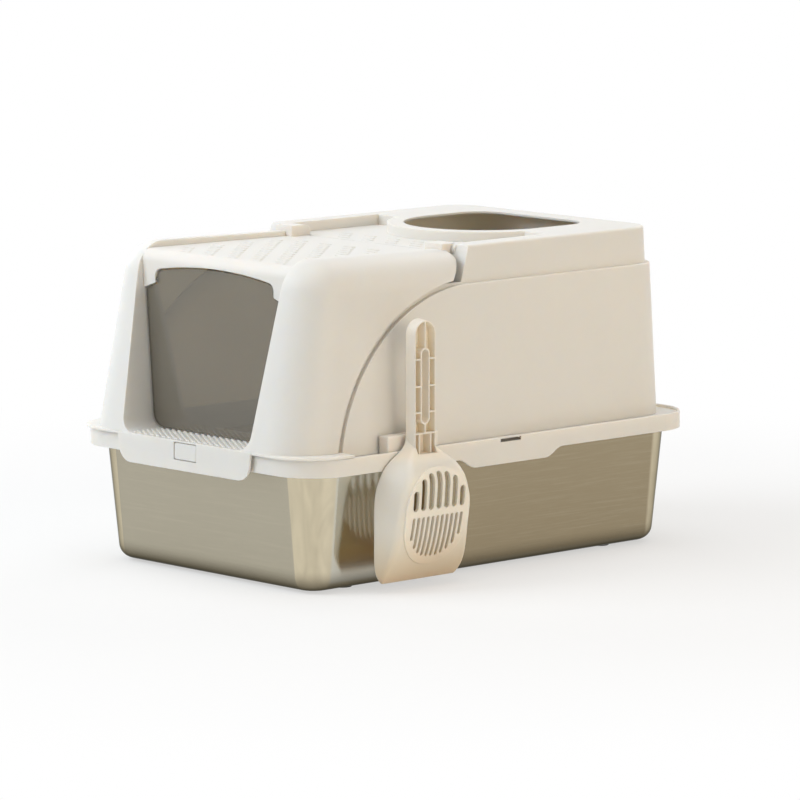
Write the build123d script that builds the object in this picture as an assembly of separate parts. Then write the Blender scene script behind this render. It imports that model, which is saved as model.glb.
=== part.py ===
from build123d import *
import os
from math import atan, degrees, sqrt

os.makedirs("parts", exist_ok=True)

# All lengths are in millimetres. X runs across, Y from the front (minus) to the back, Z up from the floor.
# Values ending in share are plain ratios and don't change with the size of the object.

# Shared
overrun = 40.0
reach = 900.0
sides = (-1, 1)
middle_share = 0.5

# Pan and feet
foot_height = 2.5
foot_radius = 12.0
foot_inset_x = 46.9
foot_inset_y = 90.4
foot_seat_depth = 1.0
foot_seat_gap = 0.5
pan_top = 155.5
pan_half_width = 194.9
pan_half_length = 302.4
pan_corner_radius = 45.0
pan_bottom_radius = 18.0
pan_lean_share = -0.10
pan_wall = 1.0
pan_flange_reach = 11.0
pan_hem_drop = 5.0

# Rim collar
rim_reach = 17.6
rim_half_width = pan_half_width + rim_reach
rim_half_length = pan_half_length + rim_reach
rim_corner_radius = 58.0
rim_wall = 3.0
rim_rise = 6.5
rim_top = pan_top + rim_rise
rim_skirt_height = 20.4
rim_skirt_bottom = rim_top - rim_skirt_height
rim_lip_radius = 1.2
deck_top = pan_top + rim_wall
drip_gap = 2.0
drip_height = 17.5
drip_bottom = pan_top - drip_height
upstand_gap = 1.5
upstand_rise = 8.0
upstand_top = rim_top + upstand_rise
upstand_front_gap = 80.0
upstand_front = upstand_front_gap - rim_half_length
grip_drop = 11.3
grip_bottom = rim_skirt_bottom - grip_drop
grip_flat_half = 56.0
grip_half = 87.0
slot_half_length = 17.0
slot_height = 4.5
slot_below_top = 1.5
slot_top = rim_top - slot_below_top
slot_bottom = slot_top - slot_height
slot_notch = 4.0

# Hood sides, which both hoods share
hood_wall = 3.0
hood_foot = rim_top
hood_setback = 22.3
hood_half_width = rim_half_width - hood_setback
hood_lean_share = 0.0518
hood_gap = 0.3

# Top hinge, where the two hoods meet
hood_height = 225.0
rear_top = hood_foot + hood_height
hinge_y = -28.0
hinge_below_top = 8.0
hinge_z = rear_top - hinge_below_top
knuckle_radius = 8.5
knuckle_length = 29.5
knuckle_side_gap = 0.5
knuckle_arm = 22.0
knuckle_front = hinge_y - knuckle_arm
rail_width = 43.2
rail_inner = hood_half_width - rail_width
knuckle_outer = rail_inner - knuckle_side_gap
knuckle_inner = knuckle_outer - knuckle_length
ear_thickness = 6.0
ear_outer = rail_inner + ear_thickness
hinge_notch_gap = 2.5
pin_radius = 2.5
pin_inner_wall = 2.0
pin_outer_wall = 1.0
pin_inner = knuckle_inner + pin_inner_wall
pin_outer = ear_outer - pin_outer_wall
pin_end_gap = 0.5
running_clearance = 0.05

# Seam between the hoods: part of one circle in the side view
seam_middle_offset = 5.0
seam_middle_y = hinge_y - seam_middle_offset
seam_middle_drop = 38.0
seam_middle_z = hood_foot - seam_middle_drop
seam_front_radius = 226.0
seam_overlap = 9.5
seam_flange_radius = seam_front_radius + seam_overlap
seam_line_gap = 6.5
seam_rear_radius = seam_front_radius - seam_line_gap

# Rear hood
rear_setback = 18.8
rear_back = rim_half_length - rear_setback
rear_corner_radius = 57.0
rear_step_below_top = 44.0
rear_step_height = rear_top - rear_step_below_top
rear_step_inset = 5.7
rear_step_edge = 2.0
rear_top_edge = 3.5
rail_top_offset = 4.0
rail_top_front = hinge_y - rail_top_offset
rail_foot_offset = 18.0
rail_foot_front = hinge_y - rail_foot_offset
rail_foot_rise = 2.0
rail_foot_height = rear_step_height + rail_foot_rise
rear_panel_drop = 12.5
rear_panel_height = rear_top - rear_panel_drop
rear_panel_offset = 6.0
rear_panel_front = hinge_y + rear_panel_offset
hole_radius = 97.0
hole_back_radius = 37.0
hole_square_length = 92.0
hole_back_border = 51.2
hole_back = rear_back - hole_back_border
platform_middle_y = hole_back - hole_square_length
platform_border = 20.0
platform_radius = hole_radius + platform_border
rear_panel_tuck = 38.0
rear_panel_back = platform_middle_y - rear_panel_tuck

# Front hood
front_overhang = 5.3
front_face = -rim_half_length - front_overhang
front_lean_share = 0.2075
front_corner_radius = 58.0
front_below_rear = 2.7
front_top = rear_top - front_below_rear
front_top_setback = 95.3
front_top_y = front_face + front_top_setback
front_top_fall_share = 0.0194
front_edge_radius = 42.0
front_back = 60.0
front_rear_offset = 16.0
front_rear_top = hinge_y - front_rear_offset
front_rear_low_drop = 13.3
front_rear_low = front_top - front_rear_low_drop
front_rear_low_y = rail_foot_front
front_seam_rise = 3.0
front_seam_top = rail_foot_height + front_seam_rise

# Channel between the cheeks, with the sill, the header and the tread panel
cheek_width = 77.2
channel_half_width = hood_half_width - cheek_width
sill_rise = 3.3
sill_top = hood_foot + sill_rise
channel_half_rise = 9.7
channel_half_height = sill_top + channel_half_rise
channel_flare_share = 0.078
channel_corner_radius = 20.0
header_setback = 47.3
header_front = front_face + header_setback
header_thickness = 7.0
header_edge_radius = 14.0
panel_drop = 7.5
panel_height = front_top - panel_drop
panel_fall_share = 0.011
panel_overlap = 4.0
panel_back = hinge_y + panel_overlap
tunnel_length = 53.4
sill_back = header_front + tunnel_length
wing_low_rise = 12.7
wing_low = sill_top + wing_low_rise
wing_top_drop = 44.8
wing_top = panel_height - wing_top_drop
wing_top_length = 22.4
wing_top_back = header_front + wing_top_length
rib_height = 1.4
rib_width = 5.0
rib_pitch = 10.6
rib_slant_share = 1.5
rib_count = 34
rib_side_border = 16.0
rib_field_half = channel_half_width - rib_side_border
rib_front_border = 5.3
rib_field_front = front_face + rib_front_border
rib_back_border = 3.4
rib_field_back = sill_back - rib_back_border
tread_length = 17.0
tread_width = 4.5
tread_height = 0.6
tread_pitch_x = 42.0
tread_pitch_y = 15.5
tread_columns = 5
tread_cycle = 3
tread_front_border = 16.0
tread_front = header_front + tread_front_border
tread_rows = 13
rear_tread_border = 14.0
rear_tread_front = rear_panel_front + rear_tread_border
rear_tread_rows = 3

# Doorway and flap
door_jamb = 8.0
door_half_width = channel_half_width - door_jamb
door_crown_drop = 13.4
door_crown = panel_height - door_crown_drop
door_arch_rise = 8.9
door_shoulder = door_crown - door_arch_rise
door_corner_radius = 10.0
tab_width = 21.0
tab_outer_half = door_half_width + tab_width
tab_height = 15.5
tab_inner_height = door_shoulder - tab_height
tab_slope = 7.5
tab_outer_height = tab_inner_height - tab_slope
flap_y = header_front + header_thickness / 2
flap_gap = 2.2
flap_thickness = 3.0
flap_pin_radius = 2.0
flap_pin_rise = 4.0
flap_pin_height = tab_inner_height + flap_pin_rise
flap_pin_half_length = 7.0
flap_pin_reach = door_half_width + flap_pin_half_length
flap_pin_root = door_half_width - flap_pin_half_length

# Base flange, apron and latch
base_flange_length = 75.3
base_flange_back = front_face + base_flange_length
apron_proud = 0.9
apron_front = front_face - apron_proud
apron_thickness = 3.2
apron_height = 34.8
apron_bottom = sill_top - apron_height
apron_side_border = 5.0
apron_half_top = channel_half_width + apron_side_border
apron_half_bottom = channel_half_width
apron_corner_radius = 20.0
latch_root = 21.0
latch_length = 36.0
latch_left = latch_root - latch_length
latch_below_sill = 2.7
latch_top = sill_top - latch_below_sill
latch_height = 19.1
latch_bottom = latch_top - latch_height
latch_corner = 2.5
latch_slit = 1.0
latch_end_slit = 2.0
latch_root_gap = 0.3
latch_nose_height = 8.0
latch_nose_width = 6.0
latch_nose_drop = 2.4

# Scoop and its holder; the heights on the scoop are measured from its tip
scoop_middle_y = -154.0
scoop_stand_off = 2.0
scoop_plane = rim_half_width + scoop_stand_off
scoop_drop = 151.0
scoop_tip = rim_top - scoop_drop
scoop_wall = 2.4
handle_half_width = 17.6
handle_top = 304.0
handle_bottom = 148.0
handle_depth = 14.0
handle_taper_share = 0.105
pocket_half_width = 15.0
pocket_top = 301.3
ring_bottom = 182.0
ring_top = 271.0
ring_half_width = 7.2
rib_wall = 1.8
cross_rib_heights = (258.0, 226.5, 196.0)
handle_bar_height = 171.5
neck_rib_offset = 9.0
# Height, half width at the open edge and depth of the bowl, from the tip up to the neck
bowl_stations = (
    (0.0, 57.0, 3.0),
    (9.0, 64.0, 9.0),
    (24.0, 67.5, 17.5),
    (49.0, 67.8, 27.0),
    (84.0, 67.8, 34.5),
    (110.0, 64.6, 37.0),
    (127.0, 56.5, 35.0),
    (139.0, 46.0, 27.0),
    (149.0, 31.0, 18.0),
    (157.0, 21.5, 14.5),
    (167.0, 18.5, 13.5),
)
bowl_hollow_top = 139.0
pad_rise = 2.2
pad_half_width = 50.0
pad_bottom = 19.0
pad_top = 135.0
bowl_side_share = 0.42
bowl_corner_share = 0.38
upper_slot_pitch = 12.2
upper_slot_width = 8.0
upper_slot_bottom = 86.0
upper_slot_tops = (130.0, 128.5, 123.0, 110.0)
lower_slot_pitch = 7.5
lower_slot_width = 4.4
lower_slot_top = 78.5
lower_slot_bottoms = (29.0, 29.5, 31.0, 35.0, 41.0, 51.5)
holder_hood_gap = 2.3
holder_back = hood_half_width + holder_hood_gap
holder_rim_gap = 1.5
holder_front = rim_half_width - rim_wall - holder_rim_gap
holder_half_width = 40.0
holder_rise = 18.0
holder_top = rim_top + holder_rise
holder_floor = 3.0
holder_back_wall = 4.5
holder_pocket_back = holder_back + holder_back_wall
holder_edge = 2.0
hanger_wing_half = 18.5
hanger_stem_half = 8.5
hanger_rim_gap = 0.5
hanger_bottom = rim_top + hanger_rim_gap
hanger_top_drop = 2.0
hanger_top = holder_top - hanger_top_drop
hanger_thickness = 4.0
hanger_clearance = 0.5


# Helpers

def level_outline(height, half_width, front, back, radius):
    """Rounded rectangle lying level at one height."""
    middle = (front + back) / 2
    return Pos(0, middle, height) * RectangleRounded(2 * half_width, back - front, radius)


def leaning_block(low, high, foot, half_width, front, back, radius, side_share, front_share):
    """Solid whose sides lean in as they rise; the sizes hold at the height of its foot."""
    ends = []
    for height in (low, high):
        rise = height - foot
        lean = side_share * rise
        shift = front_share * rise
        ends.append(level_outline(height, half_width - lean, front + shift, back - lean, radius - lean))
    return loft(ends, ruled=True)


def closed(*lines):
    """Flat face inside a closed run of lines."""
    return make_face(Curve() + list(lines))


def side_prism(profile, near, far):
    """Solid with one outline in the side view, drawn as (Y, Z), from X = near to X = far."""
    return extrude(Plane.YZ.offset(near) * profile, amount=far - near)


def front_prism(profile, near, far):
    """Solid with one outline in the front view, drawn as (X, Z), from Y = near back to Y = far."""
    return extrude(Plane.XZ.offset(-far) * profile, amount=far - near)


def plan_prism(profile, low, high):
    """Solid with one outline in plan, from Z = low up to Z = high."""
    return extrude(Pos(0, 0, low) * profile, amount=high - low)


def box(x_low, x_high, y_low, y_high, z_low, z_high):
    """Box given by its limits."""
    profile = Pos((x_low + x_high) / 2, (y_low + y_high) / 2) * Rectangle(x_high - x_low, y_high - y_low)
    return plan_prism(profile, z_low, z_high)


def rod(near, far, y, z, radius):
    """Round rod along X."""
    return side_prism(Pos(y, z) * Circle(radius), near, far)


def mirrored(solid):
    """The solid and its mirror image across the middle plane."""
    return solid + mirror(solid, about=Plane.YZ)


def round_edges(solid, radius, wanted):
    """Round the edges whose middle point passes the test."""
    edges = [edge for edge in solid.edges() if wanted(edge.position_at(middle_share))]
    return fillet(edges, radius)


# Seam between the hoods

def seam_point(radius, height):
    """Point on the front side of the seam's circle."""
    return seam_middle_y - sqrt(radius**2 - (height - seam_middle_z) ** 2), height


def seam_arc(radius, low, high):
    """Stretch of the seam's circle between two heights."""
    middle = (low + high) / 2
    return ThreePointArc(seam_point(radius, low), seam_point(radius, middle), seam_point(radius, high))


def behind_seam(radius, low, high):
    """Everything behind one circle of the seam."""
    arc = seam_arc(radius, low, high)
    edge = Polyline(arc @ 1, (reach, high), (reach, low), arc @ 0)
    return side_prism(closed(arc, edge), -reach, reach)


# Pan

def pan_block(inset, low, high):
    """Outside of the pan, or its inside when inset by the wall."""
    half_width = pan_half_width - inset
    half_length = pan_half_length - inset
    radius = pan_corner_radius - inset
    return leaning_block(
        low, high, pan_top, half_width, -half_length, half_length, radius, pan_lean_share, pan_lean_share
    )


def pan_ring(grow, thickness, low):
    """Level ring round the top of the pan."""
    half_width = pan_half_width + grow
    half_length = pan_half_length + grow
    outer = level_outline(low, half_width, -half_length, half_length, pan_corner_radius + grow)
    inner = level_outline(
        low,
        half_width - thickness,
        thickness - half_length,
        half_length - thickness,
        pan_corner_radius + grow - thickness,
    )
    return extrude(outer - inner, amount=pan_top - low)


def make_steel_pan():
    """Deep tray with a flange that is folded down at its edge."""
    floor = foot_height + pan_wall
    outside = pan_block(0, foot_height, pan_top)
    outside = round_edges(outside, pan_bottom_radius, lambda p: p.Z < floor)
    inside = pan_block(pan_wall, floor, pan_top + overrun)
    inside = round_edges(inside, pan_bottom_radius - pan_wall, lambda p: p.Z < floor + pan_wall)
    flange = pan_ring(pan_flange_reach, pan_flange_reach + pan_wall, pan_top - pan_wall)
    hem = pan_ring(pan_flange_reach, pan_wall, pan_top - pan_hem_drop)
    pan = outside + flange + hem - inside
    seat_radius = foot_radius + foot_seat_gap
    seat_top = foot_height + foot_seat_depth
    for side in sides:
        for end in sides:
            pan += foot_disc(side, end, seat_radius + pan_wall, foot_height, seat_top + pan_wall)
            pan -= foot_disc(side, end, seat_radius, 0, seat_top)
    return pan


def foot_disc(side, end, radius, low, high):
    """Upright disc at the place of one foot."""
    x = side * (pan_half_width - foot_inset_x)
    y = end * (pan_half_length - foot_inset_y)
    return plan_prism(Pos(x, y) * Circle(radius), low, high)


def make_foot(side, end):
    """Soft round foot in its pressed seat under one corner of the pan."""
    return foot_disc(side, end, foot_radius, 0, foot_height + foot_seat_depth)


# Rim collar and scoop holder

def rim_outline(inset):
    """Outline of the rim, inset all round."""
    half_length = rim_half_length - inset
    return level_outline(0, rim_half_width - inset, -half_length, half_length, rim_corner_radius - inset)


def upstand_outline(inset):
    """Outline of the ledge that the rear hood drops over, inset all round."""
    gap = hood_wall + upstand_gap + inset
    half_length = rear_back - gap
    return level_outline(0, hood_half_width - gap, -half_length, half_length, rear_corner_radius - gap)


def drip_outline(inset):
    """Outline of the wall that hangs inside the pan, inset all round."""
    gap = pan_wall + drip_gap - pan_lean_share * (pan_top - drip_bottom) + inset
    half_length = pan_half_length - gap
    return level_outline(0, pan_half_width - gap, -half_length, half_length, pan_corner_radius - gap)


def grip_flap(side):
    """Snap flap that widens the skirt downward at the middle of one side."""
    left = Spline(
        (-grip_half, rim_skirt_bottom), (-grip_flat_half, grip_bottom), tangents=[(1, 0), (1, 0)]
    )
    right = Spline((grip_flat_half, grip_bottom), (grip_half, rim_skirt_bottom), tangents=[(1, 0), (1, 0)])
    rest = Polyline(right @ 1, (grip_half, pan_top), (-grip_half, pan_top), left @ 0)
    outer = side * rim_half_width
    inner = side * (rim_half_width - rim_wall)
    return side_prism(closed(left, Line(left @ 1, right @ 0), right, rest), inner, outer)


def make_rim_collar():
    """Frame with a skirt outside the pan, a gutter deck on its flange and a drip wall inside it."""
    skirt = plan_prism(rim_outline(0) - rim_outline(rim_wall), rim_skirt_bottom, rim_top)
    collar = round_edges(skirt, rim_lip_radius, lambda p: p.Z > rim_top - rim_lip_radius)
    collar += plan_prism(rim_outline(rim_wall) - upstand_outline(rim_wall), pan_top, deck_top)
    collar += plan_prism(drip_outline(0) - drip_outline(rim_wall), drip_bottom, pan_top)
    upstand = plan_prism(upstand_outline(0) - upstand_outline(rim_wall), deck_top, upstand_top)
    collar += upstand & box(-reach, reach, upstand_front, reach, deck_top, upstand_top)
    for side in sides:
        collar += grip_flap(side)
    slot_depth = rim_half_width - rim_wall - slot_notch
    slot = box(slot_depth, reach, -slot_half_length, slot_half_length, slot_bottom, slot_top)
    return collar - mirrored(slot)


def scoop_slab(x_low, x_high, half_width, z_low, z_high):
    """Box centred on the scoop's own middle plane."""
    return box(x_low, x_high, scoop_middle_y - half_width, scoop_middle_y + half_width, z_low, z_high)


def make_scoop_holder():
    """Block on the gutter deck with an open-topped T slot that takes the scoop's hanger."""
    block = scoop_slab(holder_back, holder_front, holder_half_width, deck_top, holder_top)
    block = round_edges(block, holder_edge, lambda p: p.Z > deck_top + holder_edge)
    floor = deck_top + holder_floor
    pocket_front = holder_pocket_back + hanger_thickness + 2 * hanger_clearance
    wing_half = hanger_wing_half + hanger_clearance
    stem_half = hanger_stem_half + hanger_clearance
    pocket = scoop_slab(holder_pocket_back, pocket_front, wing_half, floor, reach)
    mouth = scoop_slab(holder_pocket_back, reach, stem_half, floor, reach)
    return block - pocket - mouth


# Rear hood

def rear_block(inset, low, high):
    """Leaning outside of the rear hood, inset all round."""
    return leaning_block(
        low,
        high,
        hood_foot,
        hood_half_width - inset,
        -reach,
        rear_back - inset,
        rear_corner_radius - inset,
        hood_lean_share,
        hood_lean_share,
    )


def rear_upper_front():
    """Everything behind the front edge of the upper shell: the recessed flange, then the rails."""
    arc = seam_arc(seam_flange_radius, deck_top, rail_foot_height)
    edge = Polyline(
        arc @ 1,
        (rail_foot_front, rail_foot_height),
        (rail_top_front, rear_top),
        (reach, rear_top),
        (reach, deck_top),
        arc @ 0,
    )
    return side_prism(closed(arc, edge), -reach, reach)


def rail_end():
    """Side view of the slanted wall that closes the front end of a rail."""
    edge = Polyline(
        (rail_foot_front, rail_foot_height),
        (rail_foot_front + hood_wall, rail_foot_height),
        (rail_top_front + hood_wall, rear_top),
        (rail_top_front, rear_top),
        close=True,
    )
    return closed(edge)


def tread_recess(grow):
    """Plan of the low panel between the rails and the round front of the platform."""
    half = rail_inner + grow
    panel = Pos(0, (rear_panel_back - reach) / 2) * Rectangle(2 * half, rear_panel_back + reach + 2 * grow)
    return panel - Pos(0, platform_middle_y) * Circle(platform_radius - grow)


def top_hole():
    """Plan of the opening in the platform: round in front, square behind."""
    square = Pos(0, hole_back - hole_square_length / 2) * Rectangle(2 * hole_radius, hole_square_length)
    square = fillet(square.vertices().group_by(Axis.Y)[-1], hole_back_radius)
    front_half = Pos(0, platform_middle_y - hole_radius) * Rectangle(2 * hole_radius, 2 * hole_radius)
    return square + (Pos(0, platform_middle_y) * Circle(hole_radius) & front_half)


def make_rear_hood():
    """Back half of the cover, with a step near its top, two rails and an opening."""
    cavity_low = deck_top - overrun
    lower = rear_block(0, deck_top, rear_step_height)
    lower = round_edges(lower, rear_step_edge, lambda p: p.Z > rear_step_height - rear_step_edge)
    lower &= behind_seam(seam_rear_radius, deck_top, rear_step_height)
    upper = rear_block(rear_step_inset, deck_top, rear_top)
    upper = round_edges(upper, rear_top_edge, lambda p: p.Z > rear_top - rear_top_edge)
    upper &= rear_upper_front()
    lower_cavity = rear_block(hood_wall, cavity_low, rear_step_height - hood_wall)
    lower_cavity &= behind_seam(seam_rear_radius - hood_wall, cavity_low, rear_step_height - hood_wall)
    upper_cavity = rear_block(rear_step_inset + hood_wall, cavity_low, rear_top - hood_wall)
    hood = lower + upper - lower_cavity - upper_cavity
    hood += upper & mirrored(side_prism(rail_end(), rail_inner, reach))
    behind_front = box(-reach, reach, rear_panel_front, reach, deck_top, reach)
    tray = plan_prism(tread_recess(hood_wall), rear_panel_height - hood_wall, rear_top)
    hood += upper & tray & behind_front
    hood -= plan_prism(tread_recess(0), rear_panel_height, reach)
    marks = tread_marks(rear_tread_front, rear_tread_rows)
    hood += plan_prism(marks, rear_panel_height - hood_wall, rear_panel_height + tread_height)
    notch_back = hinge_y + knuckle_radius + hinge_notch_gap
    notch = box(knuckle_inner - hinge_notch_gap, rail_inner, -reach, notch_back, rail_foot_height, reach)
    hood -= mirrored(notch)
    hood += mirrored(rod(rail_inner, ear_outer, hinge_y, hinge_z, knuckle_radius))
    hood -= plan_prism(top_hole(), rail_foot_height, reach)
    bore_end = pin_outer + pin_end_gap
    hood -= mirrored(rod(0, bore_end, hinge_y, hinge_z, pin_radius + running_clearance))
    return hood


# Front hood

def front_top_line(drop):
    """Everything below the front hood's top plane."""
    rise = front_top_fall_share * (reach + front_top_y)
    fall = front_top_fall_share * (reach - front_top_y)
    edge = Polyline(
        (-reach, front_top - drop + rise),
        (reach, front_top - drop - fall),
        (reach, -reach),
        (-reach, -reach),
        close=True,
    )
    return side_prism(closed(edge), -reach, reach)


def front_block(inset):
    """Outside of the front hood, or its inside when inset by the wall."""
    foot = hood_foot + hood_gap
    low = foot - (overrun if inset else 0)
    back = front_back + inset
    block = leaning_block(
        low,
        front_top + overrun,
        hood_foot,
        hood_half_width - inset,
        front_face + inset,
        back,
        front_corner_radius - inset,
        hood_lean_share,
        front_lean_share,
    )
    block &= front_top_line(inset)
    block &= box(-reach, reach, -reach, 0, -reach, reach)
    lid = front_top - front_edge_radius / 2
    return round_edges(block, front_edge_radius - inset, lambda p: p.Z > lid and p.Y < front_rear_top / 2)


def before_seam():
    """Everything in front of the front hood's rear edge."""
    foot = hood_foot + hood_gap
    arc = seam_arc(seam_front_radius, foot, front_seam_top)
    edge = Polyline(
        arc @ 1,
        (front_rear_low_y, front_rear_low),
        (front_rear_top, reach),
        (-reach, reach),
        (-reach, foot),
        arc @ 0,
    )
    return side_prism(closed(arc, edge), -reach, reach)


def channel_half(height):
    """Half width of the channel at one height."""
    return channel_half_width + channel_flare_share * (height - channel_half_height)


def channel_profile(grow):
    """Front view of the channel between the cheeks, open at the top."""
    floor = sill_top - grow
    low_half = channel_half(floor) + grow
    high_half = channel_half(reach) + grow
    edge = Polyline(
        (-low_half, floor), (low_half, floor), (high_half, reach), (-high_half, reach), close=True
    )
    return fillet(closed(edge).vertices().group_by(Axis.Y)[0], channel_corner_radius + grow)


def panel_at(y):
    """Height of the tread panel."""
    return panel_height - panel_fall_share * (y - front_top_y)


def panel_slab():
    """Side view of a thin layer on the tread panel, sunk into it."""
    edge = Polyline(
        (-reach, panel_at(-reach) - hood_wall),
        (reach, panel_at(reach) - hood_wall),
        (reach, panel_at(reach) + tread_height),
        (-reach, panel_at(-reach) + tread_height),
        close=True,
    )
    return closed(edge)


def channel_side(header, drop):
    """Side view of the channel: over the sill, up the header and back over the tread panel."""
    corner = (header, panel_at(header) - drop)
    edge = Polyline(
        (-reach, sill_top - drop),
        (header, sill_top - drop),
        corner,
        (reach, panel_at(reach) - drop),
        (reach, reach),
        (-reach, reach),
        close=True,
    )
    face = closed(edge)
    bend = face.vertices().sort_by_distance(corner)[0]
    return fillet(bend, header_edge_radius)


def doorway_profile():
    """Front view of the doorway: the channel's width below the tabs, narrower and arched above."""
    below = closed(
        Polyline(
            (-tab_outer_half, 0),
            (tab_outer_half, 0),
            (tab_outer_half, tab_outer_height),
            (door_half_width, tab_inner_height),
            (-door_half_width, tab_inner_height),
            (-tab_outer_half, tab_outer_height),
            close=True,
        )
    )
    right = (door_half_width, door_shoulder)
    left = (-door_half_width, door_shoulder)
    arch = ThreePointArc(right, (0, door_crown), left)
    legs = Polyline(
        arch @ 1, (-door_half_width, tab_outer_height), (door_half_width, tab_outer_height), arch @ 0
    )
    above = closed(arch, legs)
    above = fillet(above.vertices().group_by(Axis.Y)[-1], door_corner_radius)
    return (channel_profile(0) & below) + above


def sill_ribs():
    """Slanted ribs on the sill, clipped to the field inside its edges."""
    depth = rib_field_back - rib_field_front
    run = rib_slant_share * depth
    field = Pos(0, (rib_field_front + rib_field_back) / 2) * Rectangle(2 * rib_field_half, depth)
    ribs = Sketch()
    for index in range(rib_count):
        left = index * rib_pitch - rib_field_half - run
        outline = Polyline(
            (left, rib_field_back),
            (left + rib_width, rib_field_back),
            (left + rib_width + run, rib_field_front),
            (left + run, rib_field_front),
            close=True,
        )
        ribs += closed(outline) & field
    return plan_prism(ribs, sill_top - hood_wall, sill_top + rib_height)


def tread_marks(front, rows):
    """Plan of the tread marks: rows of short bars, each row a step further across than the one behind."""
    marks = Sketch()
    for row in range(rows):
        steps = (tread_cycle - 1) / 2 - row % tread_cycle
        for column in range(tread_columns):
            x = (column - (tread_columns - 1) / 2 + steps / tread_cycle) * tread_pitch_x
            marks += Pos(x, front + row * tread_pitch_y) * Rectangle(tread_length, tread_width)
    return marks


def make_front_shell():
    """Cheeks, corners and top border of the front hood, with the channel's walls."""
    solid = front_block(0) & before_seam()
    lining = front_prism(channel_profile(hood_wall), -reach, reach)
    lining &= side_prism(channel_side(header_front + header_thickness, hood_wall), -reach, reach)
    shell = solid - front_block(hood_wall) + (solid & lining)
    channel = front_prism(channel_profile(0), -reach, reach)
    channel &= side_prism(channel_side(header_front, 0), -reach, reach)
    return shell - channel


def make_wings():
    """Tunnel behind the doorway: the sill carried inward and a wing on each side."""
    foot = hood_foot + hood_gap
    edge = Polyline(
        (header_front, foot),
        (sill_back, foot),
        (sill_back, wing_low),
        (wing_top_back, wing_top),
        (header_front, wing_top),
        close=True,
    )
    tunnel = front_prism(channel_profile(hood_wall) - channel_profile(0), header_front, sill_back)
    return tunnel & side_prism(closed(edge), -reach, reach)


def make_apron():
    """Base flange over the rim and the apron that hangs in front of it."""
    foot = hood_foot + hood_gap
    plate = level_outline(foot, rim_half_width, front_face, -front_face, rim_corner_radius)
    plate = extrude(plate, amount=sill_top - foot) & box(-reach, reach, -reach, base_flange_back, 0, reach)
    plate -= front_block(hood_wall)
    edge = Polyline(
        (-apron_half_bottom, apron_bottom),
        (apron_half_bottom, apron_bottom),
        (apron_half_top, sill_top),
        (-apron_half_top, sill_top),
        close=True,
    )
    face = fillet(closed(edge).vertices().group_by(Axis.Y)[0], apron_corner_radius)
    apron = front_prism(face, apron_front, apron_front + apron_thickness)
    lip = box(-apron_half_top, apron_half_top, apron_front, front_face + hood_wall, foot, sill_top)
    return plate + lip + apron


def latch_window():
    """Opening in the apron that the latch sits in."""
    return box(
        latch_left - latch_end_slit,
        latch_root + apron_thickness / 2 + latch_root_gap,
        apron_front,
        apron_front + apron_thickness + latch_root_gap,
        latch_bottom - latch_slit,
        latch_top + latch_slit,
    )


def make_knuckle():
    """Hinge block on the front hood, on the right side."""
    barrel = rod(knuckle_inner, knuckle_outer, hinge_y, hinge_z, knuckle_radius)
    arm = box(
        knuckle_inner,
        knuckle_outer,
        knuckle_front,
        hinge_y,
        panel_at(knuckle_front) - hood_wall,
        hinge_z + knuckle_radius,
    )
    return barrel + arm


def make_front_hood():
    """Front half of the cover, in one moulding."""
    hood = make_front_shell() + make_wings() + make_apron() - latch_window()
    tongue_top = panel_at(panel_back)
    tongue_low = tongue_top - hood_wall
    tongue = box(-knuckle_outer, knuckle_outer, knuckle_front, panel_back, tongue_low, tongue_top)
    clear = box(knuckle_inner, reach, hinge_y, reach, 0, reach)
    hood += tongue - mirrored(clear)
    hood -= front_prism(doorway_profile(), header_front - overrun, header_front + overrun)
    hood += sill_ribs()
    marks = plan_prism(tread_marks(tread_front, tread_rows), wing_top, reach)
    hood += marks & side_prism(panel_slab(), -reach, reach)
    hood += mirrored(make_knuckle())
    bore = rod(pin_inner - pin_end_gap, reach, hinge_y, hinge_z, pin_radius + running_clearance)
    hood -= mirrored(bore)
    bore_radius = flap_pin_radius + running_clearance
    flap_bore = rod(0, flap_pin_reach + pin_end_gap, flap_y, flap_pin_height, bore_radius)
    return hood - mirrored(flap_bore)


def make_hinge_pin(side):
    """Steel pin of the top hinge."""
    near, far = sorted((side * pin_inner, side * pin_outer))
    return rod(near, far, hinge_y, hinge_z, pin_radius)


def make_entry_flap():
    """Clear sheet in the doorway with a stub pin at each top corner."""
    sheet = offset(doorway_profile(), -flap_gap, kind=Kind.INTERSECTION)
    sheet = front_prism(sheet, flap_y - flap_thickness / 2, flap_y + flap_thickness / 2)
    return sheet + mirrored(rod(flap_pin_root, flap_pin_reach, flap_y, flap_pin_height, flap_pin_radius))


def make_front_latch():
    """Tongue in the apron with a round root at its right end and a small nose behind."""
    back = apron_front + apron_thickness
    middle = (apron_front + back) / 2
    root = plan_prism(Pos(latch_root, middle) * Circle(apron_thickness / 2), latch_bottom, latch_top)
    middle_x = latch_root - latch_length / 2
    face = Pos(middle_x, (latch_bottom + latch_top) / 2) * Rectangle(latch_length, latch_height)
    face = fillet(face.vertices().group_by(Axis.X)[0], latch_corner)
    tongue = front_prism(face, apron_front, back)
    nose_low = latch_bottom + (latch_height - latch_nose_height) / 2
    nose = box(
        latch_left + latch_corner,
        latch_left + latch_corner + latch_nose_width,
        back,
        back + latch_nose_drop,
        nose_low,
        nose_low + latch_nose_height,
    )
    return tongue + root + nose


# Scoop

def bowl_section(height, half_width, depth, inset, low):
    """Cross-section of the bowl: open edge against the box, rounded face outward."""
    face = depth - inset
    half = half_width - inset
    top_half = half - bowl_side_share * face
    low_half = half - bowl_side_share * low
    outline = Polyline((low, -low_half), (low, low_half), (face, top_half), (face, -top_half), close=True)
    profile = closed(outline)
    profile = fillet(profile.vertices().group_by(Axis.X)[-1], bowl_corner_share * face)
    return Pos(scoop_plane, scoop_middle_y, height) * profile


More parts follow.
